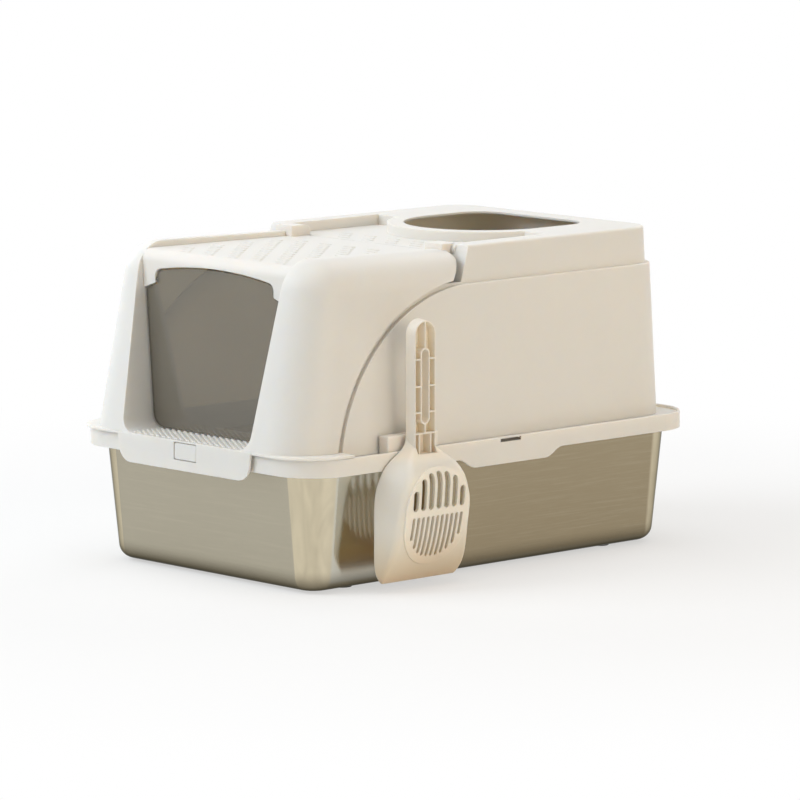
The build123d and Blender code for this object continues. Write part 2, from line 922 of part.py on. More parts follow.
def bowl_outside(grow):
    """Outside of the bowl, grown all round."""
    return loft([bowl_section(*station, -grow, 0) for station in bowl_stations])


def bowl_inside():
    """Hollow of the bowl, open towards the box."""
    stations = [station for station in bowl_stations if station[2] > 2 * scoop_wall]
    stations = [station for station in stations if station[0] <= bowl_hollow_top]
    return loft([bowl_section(*station, scoop_wall, -overrun) for station in stations])


def scoop_prism(profile, near, far):
    """Solid with one outline in the scoop's own view, drawn as (offset from its middle, Z)."""
    return side_prism(Pos(scoop_middle_y, 0) * profile, near, far)


def upright(half_width, low, high):
    """Upright oblong outline with round ends, on the scoop's middle line."""
    return Pos(0, (low + high) / 2) * Rot(0, 0, 90) * SlotOverall(high - low, 2 * half_width)


def bar(offset_from_middle, width, low, high):
    """Upright rectangular outline at one offset from the scoop's middle line."""
    return Pos(offset_from_middle, (low + high) / 2) * Rectangle(width, high - low)


def bowl_slots():
    """Two rows of sifting slots, longest in the middle."""
    slots = Sketch()
    for index, top in enumerate(upper_slot_tops):
        for side in sides:
            offset_from_middle = side * index * upper_slot_pitch
            slots += Pos(offset_from_middle, 0) * upright(upper_slot_width / 2, upper_slot_bottom, top)
    for index, bottom in enumerate(lower_slot_bottoms):
        for side in sides:
            offset_from_middle = side * index * lower_slot_pitch
            slots += Pos(offset_from_middle, 0) * upright(lower_slot_width / 2, bottom, lower_slot_top)
    return slots


def handle_solid():
    """Handle before it is hollowed, narrowing outward."""
    outline = upright(handle_half_width, handle_bottom - handle_half_width, handle_top)
    face = Plane.YZ.offset(scoop_plane) * Pos(scoop_middle_y, 0) * outline
    return extrude(face, amount=handle_depth, taper=degrees(atan(handle_taper_share)))


def handle_pocket():
    """Outline of the hollow in the handle: round at the top, square at the neck."""
    round_middle = pocket_top - pocket_half_width
    square = bar(0, 2 * pocket_half_width, handle_bottom, round_middle)
    return square + Pos(0, round_middle) * Circle(pocket_half_width)


def handle_ribs():
    """Outline of the ribs in the handle: a ring on the middle line, cross ribs and neck ribs."""
    ring = upright(ring_half_width, ring_bottom, ring_top)
    ribs = ring - ring_slot()
    ribs += bar(0, rib_wall, ring_top - rib_wall, pocket_top)
    ribs += bar(0, rib_wall, handle_bar_height, ring_bottom + rib_wall)
    for height in cross_rib_heights:
        ribs += Pos(0, height) * Rectangle(2 * pocket_half_width, rib_wall) - ring
    ribs += Pos(0, handle_bar_height) * Rectangle(2 * pocket_half_width, rib_wall)
    for side in sides:
        ribs += bar(side * neck_rib_offset, rib_wall, handle_bottom, handle_bar_height)
    return ribs


def ring_slot():
    """Outline of the slot through the handle, inside the ring."""
    return upright(ring_half_width - rib_wall, ring_bottom + rib_wall, ring_top - rib_wall)


def make_hanger():
    """T-shaped hanger on the back of the neck."""
    wing_back = holder_pocket_back + hanger_clearance
    wing_front = wing_back + hanger_thickness
    wing = scoop_slab(wing_back, wing_front, hanger_wing_half, hanger_bottom, hanger_top)
    stem = scoop_slab(wing_back, scoop_plane + scoop_wall, hanger_stem_half, hanger_bottom, hanger_top)
    return wing + stem


def make_scoop():
    """Slotted scoop hung with its underside outward."""
    pad = scoop_prism(upright(pad_half_width, pad_bottom, pad_top), scoop_plane, reach)
    handle = handle_solid()
    scoop = bowl_outside(0) + (bowl_outside(pad_rise) & pad) + handle
    floor = scoop_plane + scoop_wall
    scoop -= scoop_prism(handle_pocket(), floor, reach)
    scoop += handle & scoop_prism(handle_ribs(), scoop_plane, reach)
    scoop -= bowl_inside()
    scoop -= scoop_prism(ring_slot(), scoop_plane - overrun, reach)
    scoop -= scoop_prism(bowl_slots(), scoop_plane, reach)
    return Pos(0, 0, scoop_tip) * scoop + make_hanger()


# Parts

parts = {
    "steel_pan": make_steel_pan(),
    "rim_collar": make_rim_collar(),
    "scoop_holder": make_scoop_holder(),
    "rear_hood": make_rear_hood(),
    "front_hood": make_front_hood(),
    "entry_flap": make_entry_flap(),
    "front_latch": make_front_latch(),
    "scoop": make_scoop(),
}
for side, side_name in zip(sides, ("left", "right")):
    parts["hinge_pin_" + side_name] = make_hinge_pin(side)
    for end, end_name in zip(sides, ("front", "rear")):
        parts["pan_foot_" + end_name + "_" + side_name] = make_foot(side, end)

for name, solid in parts.items():
    export_step(solid, os.path.join("parts", name + ".step"))
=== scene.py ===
"""Finishes and stage of the enclosed litter box: moulded shells, steel pan, smoked flap and scoop."""

import bpy
from bpy.props import FloatProperty, FloatVectorProperty, PointerProperty
from bpy.types import Operator, Panel, PropertyGroup
from mathutils import Matrix, Vector

bl_info = {
    "name": "Litter box finishes",
    "version": (1, 0, 0),
    "blender": (4, 5, 0),
    "location": "3D View > Sidebar > Litter Box",
    "description": "Gives every piece of the enclosed litter box its finish and sets up the stage",
    "category": "Object",
}

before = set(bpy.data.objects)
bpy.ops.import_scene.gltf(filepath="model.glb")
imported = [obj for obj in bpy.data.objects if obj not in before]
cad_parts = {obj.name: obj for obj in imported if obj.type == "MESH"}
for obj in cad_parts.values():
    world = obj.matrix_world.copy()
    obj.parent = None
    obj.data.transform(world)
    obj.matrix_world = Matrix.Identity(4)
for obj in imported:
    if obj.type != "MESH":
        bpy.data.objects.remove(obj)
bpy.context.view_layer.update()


# Settings

class ShellSettings(PropertyGroup):
    """Moulded plastic of the hoods, the rim, the latch and the scoop's holder."""

    colour: FloatVectorProperty(
        name="Shell colour", description="Colour of the moulded shells",
        subtype="COLOR", size=3, min=0.0, max=1.0, default=(0.81, 0.774, 0.717),
    )
    roughness: FloatProperty(
        name="Roughness", description="Middle roughness of the moulded surface",
        subtype="FACTOR", min=0.0, max=1.0, default=0.46,
    )
    grain_size: FloatProperty(
        name="Grain size", description="Width of one grain of the moulded texture",
        unit="LENGTH", default=0.0007,
    )
    grain_depth: FloatProperty(
        name="Grain depth", description="Depth of the moulded texture",
        unit="LENGTH", default=0.00002,
    )
    edge_radius: FloatProperty(
        name="Edge radius", description="Softness of the moulded edges",
        unit="LENGTH", default=0.0012,
    )
    # Painted shade: a darker, warmer colour blended into the recesses where shade falls
    recess_shade_colour: FloatVectorProperty(
        name="Recess colour", description="Colour of the recesses, where light glows in the plastic",
        subtype="COLOR", size=3, min=0.0, max=1.0, default=(0.81, 0.70, 0.56),
    )
    recess_shade_reach: FloatProperty(
        name="Recess reach", description="How far off a wall still makes a recess",
        unit="LENGTH", default=0.02,
    )
    glow: FloatProperty(
        name="Glow", description="How much light passes into the plastic",
        subtype="FACTOR", min=0.0, max=1.0, default=0.6,
    )
    glow_depth: FloatProperty(
        name="Glow depth", description="How deep light passes into the plastic",
        unit="LENGTH", default=0.008,
    )


class SlotShadeSettings(PropertyGroup):
    """Painted shade deep in the two side slots of the rim; the lining below is this painted shade."""

    colour: FloatVectorProperty(
        name="Lining colour", description="Colour of the faces deep in the slots",
        subtype="COLOR", size=3, min=0.0, max=1.0, default=(0.15, 0.137, 0.115),
    )
    half_length: FloatProperty(
        name="Half length", description="Half the length of the lining",
        unit="LENGTH", default=0.0171,
    )
    inner: FloatProperty(
        name="Inner end", description="Distance from the middle at which the lining starts",
        unit="LENGTH", default=0.2052,
    )
    outer: FloatProperty(
        name="Outer end", description="Distance from the middle at which the lining ends",
        unit="LENGTH", default=0.211,
    )
    bottom: FloatProperty(
        name="Bottom", description="Height at which the lining starts",
        unit="LENGTH", default=0.1557,
    )
    top: FloatProperty(
        name="Top", description="Height at which the lining ends",
        unit="LENGTH", default=0.1606,
    )
    blur: FloatProperty(
        name="Blur", description="Width of the lining's soft edge",
        unit="LENGTH", default=0.0002,
    )


class ScoopSettings(PropertyGroup):
    """Moulded plastic of the scoop."""

    colour: FloatVectorProperty(
        name="Scoop colour", description="Colour of the scoop",
        subtype="COLOR", size=3, min=0.0, max=1.0, default=(0.90, 0.825, 0.715),
    )
    roughness: FloatProperty(
        name="Roughness", description="Middle roughness of the scoop",
        subtype="FACTOR", min=0.0, max=1.0, default=0.38,
    )
    # Painted shade: the blade is coloured darker and warmer toward its tip, in place of the shade and
    # warm bounce low down
    tip_painted_shade_colour: FloatVectorProperty(
        name="Tip colour", description="Warmer colour of the blade's tip",
        subtype="COLOR", size=3, min=0.0, max=1.0, default=(0.65, 0.515, 0.355),
    )
    tip_shade_start: FloatProperty(
        name="Tip start", description="Height below which the blade turns warm",
        unit="LENGTH", default=0.085,
    )


class SteelSettings(PropertyGroup):
    """Drawn stainless steel of the pan and turned steel of the hinge pins."""

    colour: FloatVectorProperty(
        name="Brushed colour", description="Colour of the brushed walls",
        subtype="COLOR", size=3, min=0.0, max=1.0, default=(0.415, 0.383, 0.30),
    )
    # Painted shade: the side walls are coloured darker and warmer in place of darker reflections
    side_painted_shade_colour: FloatVectorProperty(
        name="Side colour", description="Colour of the side walls, which the brush has dulled most",
        subtype="COLOR", size=3, min=0.0, max=1.0, default=(0.335, 0.275, 0.178),
    )
    # Painted highlight on the pan's corners; the hinge pins also take this colour as their own
    corner_highlight_and_pin_colour: FloatVectorProperty(
        name="Corner colour", description="Colour of the corners, which the drawing tool has burnished",
        subtype="COLOR", size=3, min=0.0, max=1.0, default=(0.605, 0.53, 0.38),
    )
    # Painted light: the front ends of the side walls are coloured lighter in place of a brighter
    # reflection
    front_end_painted_light_colour: FloatVectorProperty(
        name="Polish colour", description="Colour of the front ends of the side walls, which shine more",
        subtype="COLOR", size=3, min=0.0, max=1.0, default=(0.57, 0.56, 0.49),
    )
    roughness: FloatProperty(
        name="Roughness", description="Middle roughness of the brushed walls",
        subtype="FACTOR", min=0.0, max=1.0, default=0.20,
    )
    line_width: FloatProperty(
        name="Brush line width", description="Width of the widest brush line",
        unit="LENGTH", default=0.0035,
    )
    line_length: FloatProperty(
        name="Brush line length", description="Length of one brush line",
        unit="LENGTH", default=0.16,
    )
    line_depth: FloatProperty(
        name="Brush line depth", description="Depth of the brush lines",
        unit="LENGTH", default=0.00002,
    )
    edge_radius: FloatProperty(
        name="Edge radius", description="Softness of the pan's edges",
        unit="LENGTH", default=0.0008,
    )
    streak: FloatProperty(
        name="Brush direction", description="How much the brush lines draw out reflections",
        subtype="FACTOR", min=0.0, max=1.0, default=0.97,
    )
    # Painted shade: the darker band along the bottom edge, where the walls turn under, stands in for the
    # dark reflection there
    hem_shade_height: FloatProperty(
        name="Dull hem height", description="Height of the dull edge where the walls turn under",
        unit="LENGTH", default=0.030,
    )
    front_end_painted_light_start: FloatProperty(
        name="Polish start", description="Distance ahead of the middle where the sides start to shine",
        unit="LENGTH", default=0.145,
    )
    front_end_painted_light_end: FloatProperty(
        name="Polish end", description="Distance ahead of the middle where the sides shine fully",
        unit="LENGTH", default=0.20,
    )
    corner_start_x: FloatProperty(
        name="Corner start across", description="Distance from the middle where a corner starts, across",
        unit="LENGTH", default=0.1515,
    )
    corner_blur_x: FloatProperty(
        name="Corner blur across", description="Width of a corner's soft edge, across",
        unit="LENGTH", default=0.002,
    )
    corner_start_y: FloatProperty(
        name="Corner start along", description="Distance from the middle where a corner starts, along",
        unit="LENGTH", default=0.2565,
    )
    corner_blur_y: FloatProperty(
        name="Corner blur along", description="Width of a corner's soft edge, along",
        unit="LENGTH", default=0.006,
    )


class FlapSettings(PropertyGroup):
    """Smoked clear sheet of the entry flap."""

    colour: FloatVectorProperty(
        name="Smoke colour", description="Colour of the smoked sheet",
        subtype="COLOR", size=3, min=0.0, max=1.0, default=(0.245, 0.222, 0.175),
    )
    density: FloatProperty(
        name="Smoke density", description="How much the sheet hides what is behind it",
        subtype="FACTOR", min=0.0, max=1.0, default=0.50,
    )
    roughness: FloatProperty(
        name="Roughness", description="Roughness of the clean sheet",
        subtype="FACTOR", min=0.0, max=1.0, default=0.05,
    )


class StageSettings(PropertyGroup):
    """Floor, lamps and sky."""

    floor_radius: FloatProperty(
        name="Floor radius", description="Radius of the floor", unit="LENGTH", default=40.0,
    )
    floor_colour: FloatVectorProperty(
        name="Floor colour", description="Colour of the floor",
        subtype="COLOR", size=3, min=0.0, max=1.0, default=(0.90, 0.90, 0.89),
    )
    key_power: FloatProperty(
        name="Key power", description="Power of the front soft box", unit="POWER", default=85.0,
    )
    top_power: FloatProperty(
        name="Top power", description="Power of the overhead soft box", unit="POWER", default=36.0,
    )
    side_power: FloatProperty(
        name="Side power", description="Power of the warm side soft box", unit="POWER", default=23.0,
    )
    rear_power: FloatProperty(
        name="Rear power", description="Power of each soft box on the left and behind",
        unit="POWER", default=20.0,
    )
    sky_strength: FloatProperty(
        name="Sky strength", description="Strength of the even light from all round", default=0.20,
    )


class LitterBoxSettings(PropertyGroup):
    """All settings of the litter box."""

    shell: PointerProperty(type=ShellSettings, name="Shells", description="Moulded shells")
    slot: PointerProperty(type=SlotShadeSettings, name="Slots", description="Side slots of the rim")
    scoop: PointerProperty(type=ScoopSettings, name="Scoop", description="Slotted scoop")
    steel: PointerProperty(type=SteelSettings, name="Steel", description="Pan and hinge pins")
    flap: PointerProperty(type=FlapSettings, name="Flap", description="Entry flap")
    stage: PointerProperty(type=StageSettings, name="Stage", description="Floor, lamps and sky")


# Shader graphs

class Socket:
    """Output of a shader node; arithmetic on it adds Math nodes."""

    def __init__(self, graph, socket):
        self.graph = graph
        self.socket = socket

    def math(self, operation, *operands):
        """Result of one Math node."""
        return self.graph.node("ShaderNodeMath", {"operation": operation}, dict(enumerate(operands)))

    def __add__(self, other):
        return self.math("ADD", self, other)

    def __radd__(self, other):
        return self.math("ADD", other, self)

    def __sub__(self, other):
        return self.math("SUBTRACT", self, other)

    def __rsub__(self, other):
        return self.math("SUBTRACT", other, self)

    def __mul__(self, other):
        return self.math("MULTIPLY", self, other)

    def __rmul__(self, other):
        return self.math("MULTIPLY", other, self)

    def __abs__(self):
        return self.math("ABSOLUTE", self)

    def larger(self, other):
        """The larger of two values."""
        return self.math("MAXIMUM", self, other)


class Graph:
    """Node tree of one material or world, written as expressions."""

    probe_samples = 6

    def __init__(self, tree):
        self.tree = tree
        tree.nodes.clear()

    @staticmethod
    def pick(sockets, key):
        """Socket by its place or by its name; of several with one name, the one in use."""
        if isinstance(key, int):
            return sockets[key]
        return next(socket for socket in sockets if socket.enabled and key in (None, socket.name))

    def node(self, kind, settings, sockets, output=None):
        """Adds a node: its settings first, then the values or links of its sockets."""
        node = self.tree.nodes.new(kind)
        for name, value in settings.items():
            setattr(node, name, value)
        for key, value in sockets.items():
            target = self.pick(node.inputs, key)
            if isinstance(value, Socket):
                self.tree.links.new(value.socket, target)
            else:
                target.default_value = value
        if not node.outputs:
            return None
        return Socket(self, self.pick(node.outputs, output))

    def place(self):
        """Position in the piece's own frame, in metres."""
        return self.node("ShaderNodeTexCoord", {}, {}, "Object")

    def axes(self, vector):
        """The three parts of a vector."""
        return [self.node("ShaderNodeSeparateXYZ", {}, {"Vector": vector}, axis) for axis in "XYZ"]

    def stretched(self, vector, cell):
        """Position measured in cells of the given sizes."""
        scale = tuple(1.0 / size for size in cell)
        return self.node("ShaderNodeVectorMath", {"operation": "MULTIPLY"}, {0: vector, 1: scale})

    def noise(self, vector, scale=1.0, detail=2.0, roughness=0.5, distortion=0.0):
        """Soft noise from 0 to 1."""
        sockets = {
            "Vector": vector, "Scale": scale, "Detail": detail, "Roughness": roughness,
            "Distortion": distortion,
        }
        return self.node("ShaderNodeTexNoise", {}, sockets)

    def ramp(self, value, low, high):
        """Smooth step from 0 at low to 1 at high."""
        sockets = {"Value": value, "From Min": low, "From Max": high}
        return self.node("ShaderNodeMapRange", {"interpolation_type": "SMOOTHSTEP"}, sockets)

    def blend(self, factor, first, second):
        """Colour between two colours."""
        sockets = {"Factor": factor, "A": first, "B": second}
        return self.node("ShaderNodeMix", {"data_type": "RGBA"}, sockets)

    def rounded(self, radius):
        """Normal that is rounded off near the edges."""
        return self.node("ShaderNodeBevel", {"samples": self.probe_samples}, {"Radius": radius})

    def normal(self):
        """The surface's own normal."""
        return self.node("ShaderNodeNewGeometry", {}, {}, "Normal")

    def edges(self, rounded):
        """Mask of the edges, from how far the rounded normal turns away."""
        flat, sharp = 0.02, 0.30
        sockets = {0: rounded, 1: self.normal()}
        dot = self.node("ShaderNodeVectorMath", {"operation": "DOT_PRODUCT"}, sockets, "Value")
        return self.ramp(1.0 - dot, flat, sharp)

    def hollows(self, reach):
        """Mask of the recesses of the piece itself, from how shut in a point is within the reach; it
        places the painted shade in the recesses.
        """
        open_share, shut_share = 0.50, 0.90
        settings = {"samples": self.probe_samples, "only_local": True}
        openness = self.node("ShaderNodeAmbientOcclusion", settings, {"Distance": reach}, "AO")
        return self.ramp(1.0 - openness, open_share, shut_share)

    def facing(self):
        """The three parts of the surface's own direction."""
        return self.axes(self.normal())

    def bump(self, height, depth, normal):
        """Normal roughened by a height in metres."""
        sockets = {"Height": height, "Distance": depth, "Strength": 1.0, "Normal": normal}
        return self.node("ShaderNodeBump", {}, sockets)

    def surface(self, sockets):
        """Principled surface of the material."""
        shader = self.node("ShaderNodeBsdfPrincipled", {}, sockets)
        self.node("ShaderNodeOutputMaterial", {}, {"Surface": shader})


def new_material(name):
    """Empty node material and its graph."""
    material = bpy.data.materials.new(name)
    material.use_nodes = True
    return material, Graph(material.node_tree)


def shade(colour, level=1.0):
    """Colour, made darker or lighter if asked, with full alpha."""
    return tuple(min(1.0, part * level) for part in colour) + (1.0,)


def centred(noise):
    """Noise moved to lie evenly about zero."""
    middle = 0.5
    return noise - middle


def assign(material, *names):
    """Puts one material on whole nodes."""
    for name in names:
        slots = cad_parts[name].data.materials
        slots.clear()
        slots.append(material)


# Finishes

def slot_shade_mask(graph, place, slot):
    """Mask of the painted shade on the faces deep in the side slots of the rim."""
    x, y, z = graph.axes(place)
    within = graph.ramp(abs(x), slot.inner, slot.inner + slot.blur)
    within = within * (1.0 - graph.ramp(abs(x), slot.outer, slot.outer + slot.blur))
    within = within * (1.0 - graph.ramp(abs(y), slot.half_length, slot.half_length + slot.blur))
    within = within * graph.ramp(z, slot.bottom, slot.bottom + slot.blur)
    return within * (1.0 - graph.ramp(z, slot.top, slot.top + slot.blur))


def moulded_plastic(name, colour, roughness, shell, tip=None, slot=None):
    """Fine-grained satin moulding with painted warm shade in its recesses, a painted highlight that
    makes the edges a little paler, and smoother edges; when asked, painted shade toward the tip and deep
    in the slots.
    """
    dark_level, pale_level, edge_level = 0.975, 1.02, 1.06
    edge_highlight_share, recess_shade_share = 0.5, 0.8
    mottle_gloss, flow_gloss, grain_gloss, edge_gloss = 0.10, 0.06, 0.10, 0.06
    flow_cell = (0.05, 0.05, 0.012)
    glow_reach_shares = (1.0, 0.8, 0.6)
    plastic_ior = 1.49
    material, graph = new_material(name)
    place = graph.place()
    rounded = graph.rounded(shell.edge_radius)
    edge = graph.edges(rounded)
    grain = graph.noise(place, scale=1.0 / shell.grain_size)
    mottle = graph.noise(place, scale=16.0, detail=4.0, roughness=0.6)
    flow = graph.noise(graph.stretched(place, flow_cell), detail=3.0)
    tint = graph.blend(mottle, shade(colour, dark_level), shade(colour, pale_level))
    # Painted highlight: the edges are made a little paler
    tint = graph.blend(edge * edge_highlight_share, tint, shade(colour, edge_level))
    # Painted warm shade toward the blade's tip
    if tip:
        height = graph.axes(place)[2]
        tint = graph.blend(1.0 - graph.ramp(height, 0.0, tip.tip_shade_start), tint, shade(tip.tip_painted_shade_colour))
    # Painted warm shade in the piece's own recesses
    recess_shade = graph.hollows(shell.recess_shade_reach) * recess_shade_share
    tint = graph.blend(recess_shade, tint, shade(shell.recess_shade_colour))
    # Painted shade deep in the rim's side slots
    if slot:
        tint = graph.blend(slot_shade_mask(graph, place, slot), tint, shade(slot.colour))
    gloss = roughness + mottle_gloss * centred(mottle) + flow_gloss * centred(flow)
    gloss = gloss + grain_gloss * centred(grain) - edge_gloss * edge
    graph.surface({
        "Base Color": tint,
        "Roughness": gloss,
        "IOR": plastic_ior,
        "Subsurface Weight": shell.glow,
        "Subsurface Radius": glow_reach_shares,
        "Subsurface Scale": shell.glow_depth,
        "Normal": graph.bump(grain, shell.grain_depth, rounded),
    })
    return material


def brush_lines(graph, place, steel, level):
    """Brush lines that run level round the walls and lengthwise over the floor."""
    long, thin = steel.line_length, steel.line_width
    wall_place = graph.stretched(place, (long, long, thin))
    floor_place = graph.stretched(place, (thin, long, long))
    wall_lines = graph.noise(wall_place, detail=5.0, roughness=0.75)
    floor_lines = graph.noise(floor_place, detail=5.0, roughness=0.75)
    return wall_lines * (1.0 - level) + floor_lines * level


def pan_corners(graph, x, y, steel):
    """Mask of the four upright corners of the pan."""
    across = graph.ramp(abs(x), steel.corner_start_x, steel.corner_start_x + steel.corner_blur_x)
    along = graph.ramp(abs(y), steel.corner_start_y, steel.corner_start_y + steel.corner_blur_y)
    return across * along


def wavy_corner_highlight(graph, place, steel):
    """Painted highlight of the corners, in soft upright waves."""
    dark_level, pale_level = 0.80, 1.2
    wave_cell = (0.030, 0.030, 0.09)
    waves = graph.noise(graph.stretched(place, wave_cell), detail=1.0, distortion=2.0)
    dark, pale = shade(steel.corner_highlight_and_pin_colour, dark_level), shade(steel.corner_highlight_and_pin_colour, pale_level)
    return graph.blend(waves, dark, pale)


def brushed_steel(steel):
    """Satin walls with level brush lines; painted shade on the side walls, painted light on their front
    ends, wavy painted highlights on the corners and painted shade along the bottom edge.
    """
    wall_slope, floor_slope = 0.6, 0.9
    front_turn, side_turn = 0.75, 0.95
    line_level, hem_shade_level = 1.5, 0.36
    line_share, corner_highlight_share, hem_shade_share, hem_shade_start_share = 0.7, 0.85, 0.85, 0.1
    line_gloss, smudge_gloss, corner_gloss, side_gloss = 0.10, 0.06, 0.04, 0.05
    corner_flat_share = 0.7
    quarter_turn = 0.25
    grazing_tint = (0.35, 0.36, 0.36, 1.0)
    material, graph = new_material("brushed_steel")
    place = graph.place()
    x, y, z = graph.axes(place)
    sideways, _, upward = graph.facing()
    level = graph.ramp(abs(upward), wall_slope, floor_slope)
    side = graph.ramp(abs(sideways), front_turn, side_turn)
    lines = brush_lines(graph, place, steel, level)
    corner = pan_corners(graph, x, y, steel) * (1.0 - level)
    front_end_painted_light = side * graph.ramp(0.0 - y, steel.front_end_painted_light_start, steel.front_end_painted_light_end)
    hem = 1.0 - graph.ramp(z, hem_shade_start_share * steel.hem_shade_height, steel.hem_shade_height)
    smudge = graph.noise(place, scale=11.0, detail=4.0, roughness=0.6)
    # Painted shade on the side walls
    tint = graph.blend(side, shade(steel.colour), shade(steel.side_painted_shade_colour))
    # Painted light on the front ends of the side walls
    tint = graph.blend(front_end_painted_light, tint, shade(steel.front_end_painted_light_colour))
    tint = graph.blend(abs(centred(lines)) * line_share, tint, shade(steel.colour, line_level))
    # Painted wavy highlight on the corners
    tint = graph.blend(corner * corner_highlight_share, tint, wavy_corner_highlight(graph, place, steel))
    # Painted shade along the bottom edge
    tint = graph.blend(hem * hem_shade_share, tint, shade(steel.side_painted_shade_colour, hem_shade_level))
    gloss = steel.roughness + line_gloss * centred(lines) + smudge_gloss * centred(smudge)
    gloss = gloss - corner_gloss * corner - side_gloss * side
    height = lines * (1.0 - corner_flat_share * corner)
    graph.surface({
        "Base Color": tint,
        "Metallic": 1.0,
        "Roughness": gloss,
        "Anisotropic": steel.streak,
        "Anisotropic Rotation": quarter_turn,
        "Specular Tint": grazing_tint,
        "Normal": graph.bump(height, steel.line_depth, graph.rounded(steel.edge_radius)),
    })
    return material


def turned_steel(steel):
    """Bright pin with fine rings from the lathe."""
    dark_level, pale_level = 0.95, 1.1
    smooth, ring_gloss = 0.22, 0.15
    ring_cell = (0.0003, 0.05, 0.05)
    ring_depth, edge_radius = 0.00001, 0.0003
    material, graph = new_material("turned_steel")
    rings = graph.noise(graph.stretched(graph.place(), ring_cell))
    dark, pale = shade(steel.corner_highlight_and_pin_colour, dark_level), shade(steel.corner_highlight_and_pin_colour, pale_level)
    graph.surface({
        "Base Color": graph.blend(rings, dark, pale),
        "Metallic": 1.0,
        "Roughness": smooth + ring_gloss * rings,
        "Normal": graph.bump(rings, ring_depth, graph.rounded(edge_radius)),
    })
    return material


def foot_rubber():
    """Dull dark rubber with a coarse skin and a little dust."""
    clean, dusty = (0.030, 0.030, 0.030, 1.0), (0.060, 0.057, 0.052, 1.0)
    dull, skin_gloss = 0.72, 0.2
    skin_depth, edge_radius = 0.00008, 0.0008
    material, graph = new_material("foot_rubber")
    place = graph.place()
    skin = graph.noise(place, scale=900.0, detail=3.0)
    dust = graph.noise(place, scale=60.0, detail=3.0)
    graph.surface({
        "Base Color": graph.blend(dust, clean, dusty),
        "Roughness": dull + skin_gloss * centred(skin),
        "Normal": graph.bump(skin, skin_depth, graph.rounded(edge_radius)),
    })
    return material


def smoked_sheet(flap):
    """Smoked clear sheet with dark cut edges, fine scuffs and a soft haze."""
    edge_turn, face_turn = 0.4, 0.8
    scuff_cell = (0.004, 0.004, 0.0007)
    scuff_start, scuff_full = 0.60, 0.85
    dark_level, pale_level, edge_level = 0.94, 1.06, 0.55
    haze_gloss, scuff_gloss = 0.03, 0.10
    scuff_density, edge_density = 0.04, 0.95
    haze_depth, edge_radius = 0.00003, 0.0006
    sheet_ior = 1.62
    material, graph = new_material("smoked_sheet")
    place = graph.place()
    lengthwise = graph.facing()[1]
    cut_edge = 1.0 - graph.ramp(abs(lengthwise), edge_turn, face_turn)
    haze = graph.noise(place, scale=14.0, detail=1.0)
    scuffs = graph.noise(graph.stretched(place, scuff_cell), detail=4.0, roughness=0.7)
    scuffs = graph.ramp(scuffs, scuff_start, scuff_full)
    tint = graph.blend(haze, shade(flap.colour, dark_level), shade(flap.colour, pale_level))
    tint = graph.blend(cut_edge, tint, shade(flap.colour, edge_level))
    graph.surface({
        "Base Color": tint,
        "Roughness": flap.roughness + haze_gloss * haze + scuff_gloss * scuffs,
        "IOR": sheet_ior,
        "Alpha": (flap.density + scuff_density * scuffs).larger(cut_edge * edge_density),
        "Normal": graph.bump(haze, haze_depth, graph.rounded(edge_radius)),
    })
    return material


# Stage

PLAIN_LIGHT = (1.0, 1.0, 1.0)
COOL_LIGHT = (0.88, 0.935, 1.0)
WARM_LIGHT = (1.0, 0.83, 0.62)

# Each soft box has a name, a place, a width, the setting and the share of its power, and a colour
SOFT_BOXES = (
    ("key_box", (-1.5, -2.7, 2.3), 2.4, "key_power", 1.0, COOL_LIGHT),
    ("top_box", (0.2, -0.3, 3.2), 2.6, "top_power", 1.0, PLAIN_LIGHT),
    ("right_box", (3.0, -0.2, 0.8), 1.4, "side_power", 1.0, WARM_LIGHT),
    ("right_rear_box", (2.7, 1.3, 1.3), 1.6, "side_power", 0.5, WARM_LIGHT),
    ("left_box", (-2.8, 0.2, 1.4), 1.8, "rear_power", 1.0, PLAIN_LIGHT),
    ("rear_box", (-0.6, 2.9, 2.2), 1.8, "rear_power", 1.0, PLAIN_LIGHT),
)
LAMP_TARGET = (0.0, 0.0, 0.2)

CAMERA_PLACE = (4.76907, -4.43943, 1.11020)
CAMERA_TARGET = (0.01152, 0.00888, 0.18289)
CAMERA_LENS = 245.85
CAMERA_SENSOR = 36.0
CAMERA_REACH = 100.0


def background_rays(graph):
    """One on rays that show the background: seen directly, mirrored or through the flap."""
    rays = [
        graph.node("ShaderNodeLightPath", {}, {}, name)
        for name in ("Is Camera Ray", "Is Glossy Ray", "Is Transmission Ray")
    ]
    return rays[0].larger(rays[1]).larger(rays[2])


def floor_paint(colour):
    """Pale paint that keeps the object's shadow near it and turns to plain white further off."""
    speckle_level = 0.99
    near_distance, far_distance = 0.45, 1.3
    near_share = 0.55
    material, graph = new_material("floor_paint")
    place = graph.place()
    distance = graph.node("ShaderNodeVectorMath", {"operation": "LENGTH"}, {0: place}, "Value")
    speckle = graph.noise(place, scale=40.0, detail=3.0)
    tint = graph.blend(speckle, shade(colour, speckle_level), shade(colour))
    paint = graph.node("ShaderNodeBsdfDiffuse", {}, {"Color": tint})
    glow = graph.node("ShaderNodeEmission", {}, {"Strength": 1.0})
    away = graph.ramp(distance, near_distance, far_distance)
    share = background_rays(graph) * (near_share + (1.0 - near_share) * away)
    surface = graph.node("ShaderNodeMixShader", {}, {0: share, 1: paint, 2: glow})
    graph.node("ShaderNodeOutputMaterial", {}, {"Surface": surface})
    return material


def add_floor(stage):
    """Wide pale disc under the object."""
    corners = 96
    bpy.ops.mesh.primitive_circle_add(vertices=corners, radius=stage.floor_radius, fill_type="TRIFAN")
    floor = bpy.context.object
    floor.name = "floor"
    floor.data.materials.append(floor_paint(stage.floor_colour))


